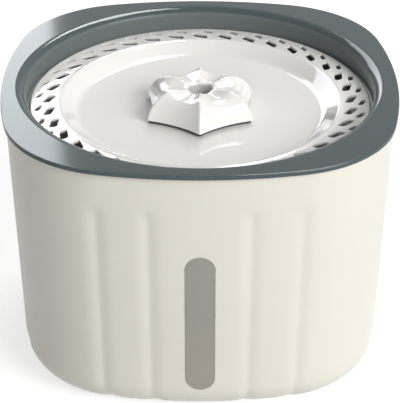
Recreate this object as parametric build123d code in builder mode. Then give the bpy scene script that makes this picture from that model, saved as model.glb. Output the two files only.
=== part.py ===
from build123d import *
from math import asin, cos, degrees, radians, sin, sqrt, tan
import os

os.makedirs("parts", exist_ok=True)

# A pet water fountain. Millimetres and degrees. +Z is up, the level window faces -Y, the cable leaves
# at the back (+Y), and the origin lies under the middle of the object, on the surface it stands on.

# ---------------------------------------------------------------------------- whole object
overall_width = 200.0
overall_height = 141.0
side_radius = 230.0
corner_radius = 60.0
running_gap = 0.05
loose_gap = 0.3

# ---------------------------------------------------------------------------- tank
foot_proud = 1.2
rim_overhang = 1.8
tank_wall = 2.6
tank_floor = 2.6
draft = 1.8
bottom_rounding = 16.0
rounding_steps = 3
flute_radius = 25.0
flute_depth = 1.15
flute_pitch = 24.5
flutes_each_way = 2
flute_top_below_rim = 21.0
window_width = 14.8
window_length = 80.0
window_top_below_rim = 45.6
foot_radius = 8.0
foot_spacing = 100.0
cable_radius = 1.8
cable_below_edge = 9.0
notch_width = 9.0
grommet_flange = 1.5
grommet_flange_thickness = 1.0

# ---------------------------------------------------------------------------- rim cover
rim_plate = 2.2
rim_band = 7.5
well_edge_bevel = 1.2
well_wall = 1.6
well_step_depth = 7.6
well_step_width = 1.3
well_taper = 0.9
tray_seat_inset = 3.7
tray_seat_depth = 12.5
tray_seat_width = 4.9
seat_thickness = 2.1
basket_seat_depth = 21.0
basket_seat_width = 4.1
basket_seat_thickness = 2.0
lip_thickness = 1.6
lip_depth = 5.0
lip_gap = 0.5

# ---------------------------------------------------------------------------- drinking tray
tray_thickness = 1.8
tray_play = 2.45
flange_depth = 10.9
flange_width = 14.95
lip_crest_depth = 10.2
lip_crest_width = 1.4
dish_slope_width = 9.4
dish_depth = 16.0
socket_radius = 6.3
socket_wall = 2.0
socket_length = 18.0
slot_count = 36
inner_slot_out = 4.3
inner_slot_length = 7.0
inner_slot_width = 3.5
inner_slot_lean = 2.9
outer_slot_out = 10.0
outer_slot_length = 4.8
outer_slot_width = 2.0
outer_slot_lean = 2.0
outer_slot_lag = 2.7

# ---------------------------------------------------------------------------- flower spout
petal_count = 6
flower_foot_radius = 21.0
flower_lift = 0.8
tip_heights = (0.0, 4.7, 9.0, 11.6, 13.3)
tip_radii = (31.0, 29.6, 26.0, 21.5, 16.4)
valley_radii = (24.5, 23.4, 20.8, 17.6, 13.6)
spout_radius = 6.1
spout_depth_in_flower = 5.0
channel_radius = 13.0
channel_slope = 12.4
stem_radius = 6.0
stem_bore = 4.4
stem_length = 9.5
hollow_inner_radius = 9.0
hollow_outer_radius = 19.0
hollow_height = 7.0

# ---------------------------------------------------------------------------- filter basket and cartridge
basket_flange_width = 3.6
basket_flange = 2.0
basket_wall = 1.6
basket_depth = 27.0
basket_floor = 2.0
chimney_bore = 10.2
chimney_wall = 1.8
cartridge_gap = 0.6
cartridge_height = 22.0
cartridge_wall = 1.4
cartridge_floor = 1.6
lid_thickness = 1.6
pack_gap = 0.3
carbon_height = 7.0
resin_height = 6.0
drain_count = 14
drain_width = 5.0
drain_web = 10.0
tab_width = 16.0
tab_height = 2.6
tab_thickness = 2.0

# ---------------------------------------------------------------------------- pump
pump_width = 38.0
pump_corner = 4.0
pump_below_shaft = 26.0
pump_above_shaft = 16.0
pump_front = -8.0
pump_back = 34.0
pump_wall = 2.0
pump_base_wall = 3.0
cup_height = 6.7
cup_radius = 8.0
cup_neck_radius = 3.0
cup_skirt = 1.8
cup_spacing_x = 24.0
cup_spacing_y = 26.0
chamber_radius = 13.0
chamber_front = -4.5
chamber_back = 4.5
cover_disc_radius = 15.0
rotor_well_radius = 7.0
rotor_well_wall = 1.0
rotor_well_back = 26.0
bush_radius = 3.4
bush_length = 3.0
shaft_radius = 1.0
shaft_in_bush = 2.0
spout_tube_radius = 4.6
spout_tube_length = 8.0
outlet_radius = 3.0
magnet_radius = 6.4
magnet_front = 6.0
magnet_back = 24.0
rotor_stem_radius = 3.0
impeller_radius = 11.0
impeller_disc = 1.5
impeller_disc_front = 1.4
blade_count = 6
blade_thickness = 1.2
blade_front = -3.6
impeller_hub_radius = 3.6
core_front = 10.0
core_back = 22.0
core_outer = 13.5
core_arm = 7.0
core_top = 8.0
yoke_top = 15.5
yoke_bottom = 21.0
coil_half_width = 5.8
coil_build = 1.6
potting_recess = 1.0
gland_radius = 3.6
gland_inside = 5.0
gland_outside = 5.0
gland_below_shaft = 13.0
intake_radius = 7.5
intake_hub_radius = 3.8
intake_window_angle = 84.0
intake_windows = 3
front_bush_radius = 2.0
front_bush_length = 2.5

# ---------------------------------------------------------------------------- strainer cage, sponge and dial
cage_depth = 16.0
cage_wall = 1.8
cage_slot_count = 5
cage_slot_width = 1.2
cage_slot_height = 28.0
cage_slot_pitch = 2.9
dial_radius = 12.0
dial_thickness = 2.0
dial_below_shaft = 5.0
dial_windows = 6
dial_window_angle = 28.0
dial_window_inner = 4.6
dial_window_outer = 10.2
dial_pin_radius = 2.5
dial_head_radius = 3.9
dial_head_thickness = 1.4
dial_grip_count = 6
dial_grip_width = 3.0
dial_grip_proud = 1.0

# ---------------------------------------------------------------------------- riser tube
riser_radius = 6.0
riser_top_below_rim = 26.5

# ---------------------------------------------------------------------------- worked out from the above
half_width = overall_width / 2
rim_top = overall_height
tank_top = rim_top - rim_plate
tank_base = foot_proud
floor_top = tank_base + tank_floor
side_centre = half_width - side_radius
arc_span = side_radius - corner_radius
corner_centre = (side_centre + sqrt(2 * arc_span**2 - side_centre**2)) / 2
side_sweep = degrees(asin(corner_centre / arc_span))
cable_height = tank_top - cable_below_edge
well_radius = half_width - rim_band
tray_seat_radius = well_radius - tray_seat_inset
tray_seat_inner = tray_seat_radius - tray_seat_width
basket_seat_inner = tray_seat_inner - basket_seat_width
tray_radius = tray_seat_radius - tray_play
lip_radius = tray_radius - flange_width
dish_radius = lip_radius - dish_slope_width
window_middle = rim_top - window_top_below_rim - window_length / 2
pump_base = floor_top + loose_gap + cup_height
shaft_height = pump_base + pump_below_shaft
pump_top = shaft_height + pump_above_shaft
pump_tall = pump_below_shaft + pump_above_shaft
pump_middle = (pump_above_shaft - pump_below_shaft) / 2
dish_height = rim_top - dish_depth
basket_rim_depth = basket_seat_depth - basket_flange
basket_radius = basket_seat_inner - cartridge_gap
basket_floor_depth = basket_rim_depth + basket_depth
cartridge_inner = chimney_bore + chimney_wall + cartridge_gap
cartridge_outer = basket_radius - basket_wall - cartridge_gap


def square_round(inset):
    """The plan outline, a square of bowed sides and round corners, moved inwards by inset."""
    with BuildSketch() as outline:
        with BuildLine():
            for quarter in range(4):
                facing = 90 * quarter
                side = Vector(side_centre, 0).rotate(Axis.Z, facing)
                corner = Vector(corner_centre, corner_centre).rotate(Axis.Z, facing)
                CenterArc((side.X, side.Y), side_radius - inset, facing - side_sweep, 2 * side_sweep)
                corner_start = facing + side_sweep
                CenterArc((corner.X, corner.Y), corner_radius - inset, corner_start, 90 - 2 * side_sweep)
        make_face()
    return outline.sketch


def drafted_block(inset, low, rounding):
    """The tank's outline filled down to the height low, drawn in by the draft, its edge rounded in steps."""
    middle = low + rounding
    middle_inset = inset + (tank_top - middle) * tan(radians(draft)) + rounding / cos(radians(draft))
    with BuildPart() as block:
        for step in range(rounding_steps + 1):
            lean = radians(90 - (90 - draft) * step / rounding_steps)
            with BuildSketch(Plane.XY.offset(middle - rounding * sin(lean))):
                add(square_round(middle_inset - rounding * cos(lean)))
        with BuildSketch(Plane.XY.offset(tank_top)):
            add(square_round(inset))
        loft(ruled=True)
    return block.part


def wall_reach(height):
    """Distance of the tank's outer wall from the centre of a side's bow, at a height."""
    return side_radius - rim_overhang - (tank_top - height) * tan(radians(draft))


def sector(inner, outer, angle):
    """A sector of a ring, centred on the X axis."""
    with BuildSketch() as window:
        with BuildLine():
            outer_arc = CenterArc((0, 0), outer, -angle / 2, angle)
            inner_arc = CenterArc((0, 0), inner, -angle / 2, angle)
            Line(outer_arc @ 0, inner_arc @ 0)
            Line(outer_arc @ 1, inner_arc @ 1)
        make_face()
    return window.sketch


def turned(points):
    """A ring turned about Z from a closed profile of radius and depth below the rim."""
    with BuildPart() as ring:
        with BuildSketch(Plane.XZ):
            with BuildLine():
                Polyline([(radius, rim_top - depth) for radius, depth in points], close=True)
            make_face()
        revolve(axis=Axis.Z)
    return ring.part


def leaning_slot(length, width, lean):
    """A drain slot: X is outwards, and the slot leans inwards as it runs clockwise."""
    corners = [
        (lean / 2 + width / 2, length / 2),
        (-lean / 2 + width / 2, -length / 2),
        (-lean / 2 - width / 2, -length / 2),
        (lean / 2 - width / 2, length / 2),
    ]
    with BuildSketch() as slot:
        with BuildLine():
            Polyline(corners, close=True)
        make_face()
    return slot.sketch


def finish(piece, name):
    """Labels a piece and writes its file."""
    piece.part.label = name
    export_step(piece.part, "parts/" + name + ".step")


# ---------------------------------------------------------------------------- tank: tools
tank_outside = drafted_block(rim_overhang, tank_base, bottom_rounding)
tank_inside = drafted_block(rim_overhang + tank_wall, floor_top, bottom_rounding - tank_wall)

# One flute's cutter, laid out from the centre of a side's bow: a round rod beside the wall, with a
# ball at its upper end, that leans with the draft and fades out in the rounding of the bottom edge.
rod_reach = flute_radius - flute_depth
flute_half_width = sqrt(flute_radius**2 - rod_reach**2)
flute_start = rim_top - flute_top_below_rim - flute_half_width

with BuildPart() as flute_rod:
    rod_top = (wall_reach(flute_start) + rod_reach, 0, flute_start)
    with BuildSketch(Plane(origin=rod_top, z_dir=(-sin(radians(draft)), 0, -cos(radians(draft))))):
        Circle(flute_radius)
    extrude(amount=flute_start + flute_radius)
    with Locations(rod_top):
        Sphere(flute_radius)

flute_places = []
for quarter in range(4):
    for step in range(-flutes_each_way, flutes_each_way + 1):
        facing = 90 * quarter - 90
        bow = Vector(side_centre, 0).rotate(Axis.Z, facing)
        turn = degrees(asin(step * flute_pitch / side_radius))
        if quarter > 0 or step != 0:
            flute_places.append(Location((bow.X, bow.Y, 0), (0, 0, facing + turn)))

with BuildPart() as window_tool:
    with BuildSketch(Plane.XZ):
        with Locations((0, window_middle)):
            SlotOverall(window_length, window_width, rotation=90)
    extrude(amount=overall_width)

# ---------------------------------------------------------------------------- tank
with BuildPart() as tank:
    add(tank_outside)
    for place in flute_places:
        add(flute_rod.part.moved(place), mode=Mode.SUBTRACT)
    add(tank_inside, mode=Mode.SUBTRACT)
    add(window_tool.part, mode=Mode.SUBTRACT)
    with BuildSketch(Plane.XZ.offset(-corner_radius)):
        with Locations((0, (cable_height - notch_width / 2 + rim_top) / 2)):
            Rectangle(notch_width, rim_top - cable_height + notch_width / 2)
    extrude(amount=-corner_radius, mode=Mode.SUBTRACT)
finish(tank, "tank")

# ---------------------------------------------------------------------------- level window
with BuildPart() as level_window:
    add(tank_outside)
    add(tank_inside, mode=Mode.SUBTRACT)
    add(window_tool.part, mode=Mode.INTERSECT)
finish(level_window, "level_window")

# ---------------------------------------------------------------------------- rubber feet
with BuildPart() as rubber_feet:
    with BuildSketch(Plane.XY):
        with GridLocations(foot_spacing, foot_spacing, 2, 2):
            Circle(foot_radius)
    extrude(amount=foot_proud)
finish(rubber_feet, "rubber_feet")

# ---------------------------------------------------------------------------- cable grommet
edge_reach = wall_reach(cable_height) + side_centre
groove_back = edge_reach + loose_gap
groove_front = edge_reach - tank_wall - loose_gap
grommet_top = tank_top - loose_gap


def grommet_layer(front, back, width):
    """One layer of the grommet: a block that fills the notch up to just under the rim cover."""
    low = cable_height - width / 2
    with BuildPart() as layer:
        with BuildSketch(Plane.XZ.offset(-back)):
            with Locations((0, (low + grommet_top) / 2)):
                Rectangle(width, grommet_top - low)
        extrude(amount=back - front)
    return layer.part


grommet_width = notch_width + 2 * grommet_flange
with BuildPart() as cable_grommet:
    add(grommet_layer(groove_front, groove_back, notch_width - 2 * running_gap))
    add(grommet_layer(groove_back, groove_back + grommet_flange_thickness, grommet_width))
    add(grommet_layer(groove_front - grommet_flange_thickness, groove_front, grommet_width))
    with BuildSketch(Plane.XZ.offset(-overall_width)):
        with Locations((0, cable_height)):
            Circle(cable_radius)
    extrude(amount=overall_width, mode=Mode.SUBTRACT)
finish(cable_grommet, "cable_grommet")

# ---------------------------------------------------------------------------- rim cover
lip_inset = rim_overhang + tank_wall + lip_gap
step_radius = well_radius - well_taper
well_back = step_radius + well_wall + well_taper / 2
well_points = [
    (well_radius + well_edge_bevel, 0),
    (well_radius, well_edge_bevel),
    (step_radius, well_step_depth - well_step_width / 2),
    (step_radius - well_step_width, well_step_depth),
    (tray_seat_radius, tray_seat_depth),
    (tray_seat_inner, tray_seat_depth),
    (tray_seat_inner, basket_seat_depth),
    (basket_seat_inner, basket_seat_depth),
    (basket_seat_inner, basket_seat_depth + basket_seat_thickness),
    (tray_seat_inner + well_wall, basket_seat_depth + basket_seat_thickness),
    (tray_seat_inner + well_wall, tray_seat_depth + seat_thickness),
    (tray_seat_radius + well_wall, tray_seat_depth + seat_thickness),
    (well_back, well_step_depth),
    (well_back, rim_plate),
    (well_radius + well_wall, rim_plate),
    (well_radius + well_wall, 0),
]

with BuildPart() as rim_cover:
    with BuildSketch(Plane.XY.offset(tank_top)):
        add(square_round(0))
        Circle(well_radius + well_edge_bevel, mode=Mode.SUBTRACT)
    extrude(amount=rim_plate)
    with BuildSketch(Plane.XY.offset(tank_top)):
        add(square_round(lip_inset))
        add(square_round(lip_inset + lip_thickness), mode=Mode.SUBTRACT)
        with Locations((0, half_width)):
            Rectangle(grommet_width + 2 * lip_gap, half_width / 2, mode=Mode.SUBTRACT)
    extrude(amount=-lip_depth)
    add(turned(well_points))
finish(rim_cover, "rim_cover")

# ---------------------------------------------------------------------------- drinking tray
tray_points = [
    (socket_radius, dish_depth),
    (dish_radius, dish_depth),
    (lip_radius - lip_crest_width / 2, lip_crest_depth),
    (lip_radius + lip_crest_width / 2, lip_crest_depth),
    (lip_radius + lip_crest_width, flange_depth),
    (tray_radius, flange_depth),
    (tray_radius, tray_seat_depth),
    (lip_radius, tray_seat_depth),
    (dish_radius + tray_thickness / 2, dish_depth + tray_thickness),
    (socket_radius + socket_wall, dish_depth + tray_thickness),
    (socket_radius + socket_wall, dish_depth + socket_length),
    (socket_radius, dish_depth + socket_length),
]

with BuildPart() as drinking_tray:
    add(turned(tray_points))
    with BuildSketch(Plane.XY.offset(rim_top)):
        with PolarLocations(lip_radius + inner_slot_out, slot_count):
            add(leaning_slot(inner_slot_length, inner_slot_width, inner_slot_lean))
        with PolarLocations(lip_radius + outer_slot_out, slot_count, start_angle=-outer_slot_lag):
            add(leaning_slot(outer_slot_length, outer_slot_width, outer_slot_lean))
    extrude(amount=-dish_depth, mode=Mode.SUBTRACT)
finish(drinking_tray, "drinking_tray")

# ---------------------------------------------------------------------------- flower spout
flower_base = dish_height + flower_lift
flower_hole_depth = tip_heights[-1] - spout_depth_in_flower
channel_start = spout_radius * cos(radians(180 / petal_count))
stem_low = flower_base - stem_length


def star(tip, valley):
    """A six-pointed outline whose sides bow inwards, with a tip to the front."""
    step = 360 / petal_count
    with BuildSketch() as outline:
        with BuildLine():
            for petal in range(petal_count):
                angle = step * petal + step / 2
                here = Vector(tip, 0).rotate(Axis.Z, angle)
                middle = Vector(valley, 0).rotate(Axis.Z, angle + step / 2)
                there = Vector(tip, 0).rotate(Axis.Z, angle + step)
                ThreePointArc(here, middle, there)
        make_face()
    return outline.sketch


with BuildPart() as flower_spout:
    for height, tip, valley in zip(tip_heights, tip_radii, valley_radii):
        with BuildSketch(Plane.XY.offset(flower_base + height)):
            add(star(tip, valley))
    loft(ruled=True)
    # six shallow channels run from the mouth out between the tips
    for petal in range(petal_count):
        outwards = Vector(1, 0, 0).rotate(Axis.Z, petal * 360 / petal_count)
        rise = Vector(0, 0, sin(radians(channel_slope)))
        mouth_edge = outwards * channel_start + Vector(0, 0, flower_base + flower_hole_depth + channel_radius)
        with BuildSketch(Plane(origin=mouth_edge - outwards * channel_start, z_dir=outwards + rise)):
            Circle(channel_radius)
        extrude(amount=tip_radii[0] * 2, mode=Mode.SUBTRACT)
    # the underside is hollow between the stem and the petals
    with BuildSketch(Plane.XY.offset(flower_base)):
        Circle(hollow_outer_radius)
        Circle(hollow_inner_radius, mode=Mode.SUBTRACT)
    extrude(amount=hollow_height, mode=Mode.SUBTRACT)
    with BuildSketch(Plane.XY.offset(dish_height)):
        Circle(flower_foot_radius)
        Circle(hollow_outer_radius, mode=Mode.SUBTRACT)
    extrude(amount=flower_lift)
    with BuildSketch(Plane.XY.offset(stem_low)):
        Circle(stem_radius)
    extrude(amount=stem_length + flower_lift)
    with BuildSketch(Plane.XY.offset(flower_base + flower_hole_depth + channel_radius)):
        Circle(spout_radius)
    extrude(amount=-(channel_radius + spout_depth_in_flower), mode=Mode.SUBTRACT)
    with BuildSketch(Plane.XY.offset(stem_low)):
        Circle(stem_bore)
    extrude(amount=overall_height, mode=Mode.SUBTRACT)
finish(flower_spout, "flower_spout")

# ---------------------------------------------------------------------------- filter basket
basket_flange_radius = basket_radius + basket_flange_width


def drain_slots(inner, outer, depth, thickness):
    """A ring of radial drain slots between two radii, as one cutter."""
    with BuildPart() as slots:
        with BuildSketch(Plane.XY.offset(rim_top - depth)):
            with PolarLocations((inner + outer) / 2, drain_count):
                Rectangle(outer - inner - 2 * drain_web, drain_width)
        extrude(amount=-thickness)
    return slots.part


with BuildPart() as filter_basket:
    add(
        turned(
            [
                (basket_radius - basket_wall, basket_rim_depth),
                (basket_flange_radius, basket_rim_depth),
                (basket_flange_radius, basket_seat_depth),
                (basket_radius, basket_seat_depth),
                (basket_radius, basket_floor_depth + basket_floor),
                (chimney_bore, basket_floor_depth + basket_floor),
                (chimney_bore, basket_rim_depth + basket_flange),
                (chimney_bore + chimney_wall, basket_rim_depth + basket_flange),
                (chimney_bore + chimney_wall, basket_floor_depth),
                (basket_radius - basket_wall, basket_floor_depth),
            ]
        )
    )
    add(drain_slots(cartridge_inner, cartridge_outer, basket_floor_depth, basket_floor), mode=Mode.SUBTRACT)
finish(filter_basket, "filter_basket")

# ---------------------------------------------------------------------------- filter cartridge
cartridge_top_depth = basket_floor_depth - cartridge_height
pan_top_depth = cartridge_top_depth + lid_thickness
pack_inner = cartridge_inner + cartridge_wall + pack_gap
pack_outer = cartridge_outer - cartridge_wall - pack_gap
carbon_low_depth = basket_floor_depth - cartridge_floor
resin_low_depth = carbon_low_depth - carbon_height
cotton_low_depth = resin_low_depth - resin_height
cotton_top_depth = pan_top_depth + pack_gap

with BuildPart() as cartridge_pan:
    add(
        turned(
            [
                (cartridge_outer, pan_top_depth),
                (cartridge_outer, basket_floor_depth),
                (cartridge_inner, basket_floor_depth),
                (cartridge_inner, pan_top_depth),
                (cartridge_inner + cartridge_wall, pan_top_depth),
                (cartridge_inner + cartridge_wall, carbon_low_depth),
                (cartridge_outer - cartridge_wall, carbon_low_depth),
                (cartridge_outer - cartridge_wall, pan_top_depth),
            ]
        )
    )
    add(drain_slots(cartridge_inner, cartridge_outer, carbon_low_depth, cartridge_floor), mode=Mode.SUBTRACT)
finish(cartridge_pan, "cartridge_pan")

with BuildPart() as cartridge_lid:
    with BuildSketch(Plane.XY.offset(rim_top - cartridge_top_depth)):
        Circle(cartridge_outer)
        Circle(cartridge_inner, mode=Mode.SUBTRACT)
    extrude(amount=-lid_thickness)
    add(drain_slots(cartridge_inner, cartridge_outer, cartridge_top_depth, lid_thickness), mode=Mode.SUBTRACT)
    with BuildSketch(Plane.XY.offset(rim_top - cartridge_top_depth)):
        with PolarLocations(cartridge_outer - drain_web / 2, 2):
            Rectangle(tab_thickness, tab_width)
    extrude(amount=tab_height)
finish(cartridge_lid, "cartridge_lid")


def filter_layer(name, top_depth, low_depth):
    """One ring-shaped filling of the cartridge."""
    with BuildPart() as layer:
        with BuildSketch(Plane.XY.offset(rim_top - low_depth)):
            Circle(pack_outer)
            Circle(pack_inner, mode=Mode.SUBTRACT)
        extrude(amount=low_depth - top_depth)
    finish(layer, name)


filter_layer("carbon_bed", resin_low_depth, carbon_low_depth)
filter_layer("resin_bed", cotton_low_depth, resin_low_depth)
filter_layer("cotton_layer", cotton_top_depth, cotton_low_depth)

# ---------------------------------------------------------------------------- pump: planes
# The pump's shaft lies along Y. A shaft plane stands across it: its X is the object's X, its Y is up
# from the shaft, and it looks to the front, so a positive extrusion runs forwards.


def shaft_plane(back):
    """The plane across the shaft at a distance back from the middle of the object."""
    return Plane(origin=(0, back, shaft_height), x_dir=(1, 0, 0), z_dir=(0, -1, 0))


def rod(radius, front, back, bore=0.0):
    """A rod or a tube along the shaft, between two places."""
    with BuildPart() as bar:
        with BuildSketch(shaft_plane(back)):
            Circle(radius)
            if bore > 0:
                Circle(bore, mode=Mode.SUBTRACT)
        extrude(amount=back - front)
    return bar.part


# ---------------------------------------------------------------------------- pump housing
well_tube_radius = rotor_well_radius + rotor_well_wall
well_tube_back = rotor_well_back + bush_length + rotor_well_wall
pocket_front = chamber_back + pump_wall
pocket_width = pump_width - 2 * pump_wall
pocket_low = pump_below_shaft - pump_base_wall
pocket_high = pump_above_shaft - pump_wall


def pump_pocket(front, back):
    """The room for the stator behind the volute chamber, around the rotor well."""
    with BuildPart() as pocket:
        with BuildSketch(shaft_plane(back)):
            with Locations((0, (pocket_high - pocket_low) / 2)):
                Rectangle(pocket_width, pocket_low + pocket_high)
        extrude(amount=back - front)
        add(rod(well_tube_radius, pocket_front, well_tube_back), mode=Mode.SUBTRACT)
    return pocket.part


with BuildPart() as pump_housing:
    with BuildSketch(shaft_plane(pump_back)):
        with Locations((0, pump_middle)):
            RectangleRounded(pump_width, pump_tall, pump_corner)
    extrude(amount=pump_back - pump_front)
    with BuildSketch(Plane.XY.offset(pump_top)):
        Circle(spout_tube_radius)
    extrude(amount=spout_tube_length)
    add(pump_pocket(pocket_front, pump_back), mode=Mode.SUBTRACT)
    add(rod(rotor_well_radius, chamber_front, rotor_well_back), mode=Mode.SUBTRACT)
    add(rod(bush_radius + running_gap, rotor_well_back, rotor_well_back + bush_length), mode=Mode.SUBTRACT)
    add(rod(chamber_radius, pump_front, chamber_back), mode=Mode.SUBTRACT)
    add(rod(cover_disc_radius, pump_front, chamber_front), mode=Mode.SUBTRACT)
    with BuildSketch(Plane.XY.offset(shaft_height)):
        Circle(outlet_radius)
    extrude(amount=overall_height, mode=Mode.SUBTRACT)
finish(pump_housing, "pump_housing")

# ---------------------------------------------------------------------------- stator
with BuildPart() as stator_core:
    with BuildSketch(shaft_plane(core_back)):
        with Locations((0, (core_top - yoke_bottom) / 2)):
            Rectangle(2 * core_outer, core_top + yoke_bottom)
        with Locations((0, (core_top - yoke_top) / 2)):
            Rectangle(2 * (core_outer - core_arm), core_top + yoke_top, mode=Mode.SUBTRACT)
        Circle(well_tube_radius + running_gap, mode=Mode.SUBTRACT)
    extrude(amount=core_back - core_front)
finish(stator_core, "stator_core")

with BuildPart() as stator_coil:
    with BuildSketch(shaft_plane(core_back + coil_build)):
        with Locations((0, -(yoke_top + yoke_bottom) / 2)):
            Rectangle(2 * coil_half_width, yoke_bottom - yoke_top + 2 * coil_build)
    extrude(amount=core_back - core_front + 2 * coil_build)
    with BuildSketch(shaft_plane(core_back)):
        with Locations((0, -(yoke_top + yoke_bottom) / 2)):
            Rectangle(2 * coil_half_width, yoke_bottom - yoke_top)
    extrude(amount=core_back - core_front, mode=Mode.SUBTRACT)
finish(stator_coil, "stator_coil")


def at_gland(radius, front, back, bore=0.0):
    """A rod or a tube along the cable's way into the pump."""
    return rod(radius, front, back, bore).moved(Location((0, 0, -gland_below_shaft)))


potting_back = pump_back - potting_recess
with BuildPart() as potting:
    add(pump_pocket(pocket_front, potting_back))
    add(stator_core.part, mode=Mode.SUBTRACT)
    add(stator_coil.part, mode=Mode.SUBTRACT)
    add(at_gland(gland_radius, potting_back - gland_inside, potting_back), mode=Mode.SUBTRACT)
finish(potting, "potting")

with BuildPart() as cable_gland:
    add(at_gland(gland_radius, potting_back - gland_inside, potting_back + gland_outside))
    add(at_gland(cable_radius, potting_back, potting_back + gland_outside), mode=Mode.SUBTRACT)
finish(cable_gland, "cable_gland")

# ---------------------------------------------------------------------------- shaft and bushes
front_bush_front = chamber_front - front_bush_length
shaft_front = chamber_front - shaft_in_bush
shaft_back = rotor_well_back + shaft_in_bush

with BuildPart() as impeller_shaft:
    add(rod(shaft_radius, shaft_front, shaft_back))
finish(impeller_shaft, "impeller_shaft")


def bush(name, radius, front, back):
    """A bush that holds one end of the shaft."""
    with BuildPart() as holder:
        add(rod(radius, front, back, shaft_radius + running_gap))
    finish(holder, name)


bush("rear_bush", bush_radius, rotor_well_back, rotor_well_back + bush_length)
bush("front_bush", front_bush_radius, front_bush_front, chamber_front)

# ---------------------------------------------------------------------------- impeller and magnet
blade_middle = (impeller_hub_radius + impeller_radius - blade_thickness) / 2
blade_offset = impeller_hub_radius - blade_thickness

with BuildPart() as impeller:
    add(rod(impeller_radius, impeller_disc_front, impeller_disc_front + impeller_disc))
    add(rod(impeller_hub_radius, blade_front, impeller_disc_front))
    add(rod(rotor_stem_radius, impeller_disc_front, magnet_back + impeller_disc / 2))
    with BuildSketch(shaft_plane(impeller_disc_front)):
        with PolarLocations(0, blade_count):
            with Locations((blade_middle, -blade_offset)):
                Rectangle(impeller_radius - impeller_hub_radius, blade_thickness)
    extrude(amount=impeller_disc_front - blade_front)
    add(rod(shaft_radius + running_gap, pump_front, pump_back), mode=Mode.SUBTRACT)
finish(impeller, "impeller")

with BuildPart() as rotor_magnet:
    add(rod(magnet_radius, magnet_front, magnet_back, rotor_stem_radius + running_gap))
finish(rotor_magnet, "rotor_magnet")

# ---------------------------------------------------------------------------- volute cover
with BuildPart() as volute_cover:
    add(rod(cover_disc_radius - loose_gap, pump_front, chamber_front))
    with BuildSketch(shaft_plane(chamber_front)):
        with PolarLocations(0, intake_windows):
            add(sector(intake_hub_radius, intake_radius, intake_window_angle))
    extrude(amount=chamber_front - pump_front, mode=Mode.SUBTRACT)
    add(rod(front_bush_radius + running_gap, front_bush_front, chamber_front), mode=Mode.SUBTRACT)
finish(volute_cover, "volute_cover")

# ---------------------------------------------------------------------------- strainer cage
cage_front = pump_front - cage_depth
dial_height = -dial_below_shaft
dial_back = cage_front - loose_gap
dial_front = dial_back - dial_thickness
pin_front = dial_front - loose_gap


def at_dial(radius, front, back, bore=0.0):
    """A disc or a ring on the flow dial's axis."""
    return rod(radius, front, back, bore).moved(Location((0, 0, dial_height)))


def dial_openings(front, back):
    """The ring of sector windows that the cage and the dial share."""
    with BuildPart() as windows:
        with BuildSketch(shaft_plane(back)):
            with Locations((0, dial_height)):
                with PolarLocations(0, dial_windows, start_angle=90):
                    add(sector(dial_window_inner, dial_window_outer, dial_window_angle))
        extrude(amount=back - front)
    return windows.part


with BuildPart() as strainer_cage:
    with BuildSketch(shaft_plane(pump_front)):
        with Locations((0, pump_middle)):
            RectangleRounded(pump_width, pump_tall, pump_corner)
    extrude(amount=cage_depth)
    with BuildSketch(shaft_plane(pump_front)):
        with Locations((0, pump_middle)):
            RectangleRounded(pump_width - 2 * cage_wall, pump_tall - 2 * cage_wall, pump_corner - cage_wall)
    extrude(amount=cage_depth - cage_wall, mode=Mode.SUBTRACT)
    with BuildSketch(Plane.YZ.offset(-pump_width)):
        with Locations((pump_front - cage_depth / 2, shaft_height + pump_middle)):
            with GridLocations(cage_slot_pitch, 0, cage_slot_count, 1):
                Rectangle(cage_slot_width, cage_slot_height)
    extrude(amount=2 * pump_width, mode=Mode.SUBTRACT)
    add(dial_openings(cage_front, cage_front + cage_wall), mode=Mode.SUBTRACT)
    add(at_dial(dial_pin_radius, pin_front, cage_front))
    add(at_dial(dial_head_radius, pin_front - dial_head_thickness, pin_front))
finish(strainer_cage, "strainer_cage")

with BuildPart() as flow_dial:
    add(at_dial(dial_radius, dial_front, dial_back))
    with BuildSketch(shaft_plane(dial_back)):
        with Locations((0, dial_height)):
            with PolarLocations(dial_radius, dial_grip_count):
                Rectangle(2 * dial_grip_proud, dial_grip_width)
    extrude(amount=dial_thickness)
    add(dial_openings(dial_front, dial_back), mode=Mode.SUBTRACT)
    add(at_dial(dial_pin_radius + running_gap, dial_front, dial_back), mode=Mode.SUBTRACT)
finish(flow_dial, "flow_dial")

with BuildPart() as intake_sponge:
    sponge_side = cage_wall + loose_gap
    with BuildSketch(shaft_plane(pump_front - loose_gap)):
        with Locations((0, pump_middle)):
            Rectangle(pump_width - 2 * sponge_side, pump_tall - 2 * sponge_side)
    extrude(amount=cage_depth - cage_wall - 2 * loose_gap)
    fillet(intake_sponge.edges().filter_by(Axis.Y), pump_corner - cage_wall)
finish(intake_sponge, "intake_sponge")

# ---------------------------------------------------------------------------- riser tube
with BuildPart() as riser_tube:
    with BuildSketch(Plane.XY.offset(pump_top)):
        Circle(riser_radius)
        Circle(spout_tube_radius + running_gap, mode=Mode.SUBTRACT)
    extrude(amount=rim_top - riser_top_below_rim - pump_top)
finish(riser_tube, "riser_tube")

# ---------------------------------------------------------------------------- suction cups
with BuildPart() as suction_cup:
    with BuildSketch(Plane.XY):
        Circle(cup_radius)
    extrude(amount=cup_skirt)
    with BuildSketch(Plane.XY):
        Circle(cup_neck_radius)
    extrude(amount=cup_height)

with BuildPart() as suction_cups:
    with Locations((0, (pump_front + pump_back) / 2, pump_base - cup_height)):
        with GridLocations(cup_spacing_x, cup_spacing_y, 2, 2):
            add(suction_cup.part)
finish(suction_cups, "suction_cups")
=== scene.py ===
from math import asin, atan2, cos, pi, radians, sin, sqrt, tan

import bmesh
import bpy
from mathutils import Matrix, Quaternion, Vector


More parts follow.
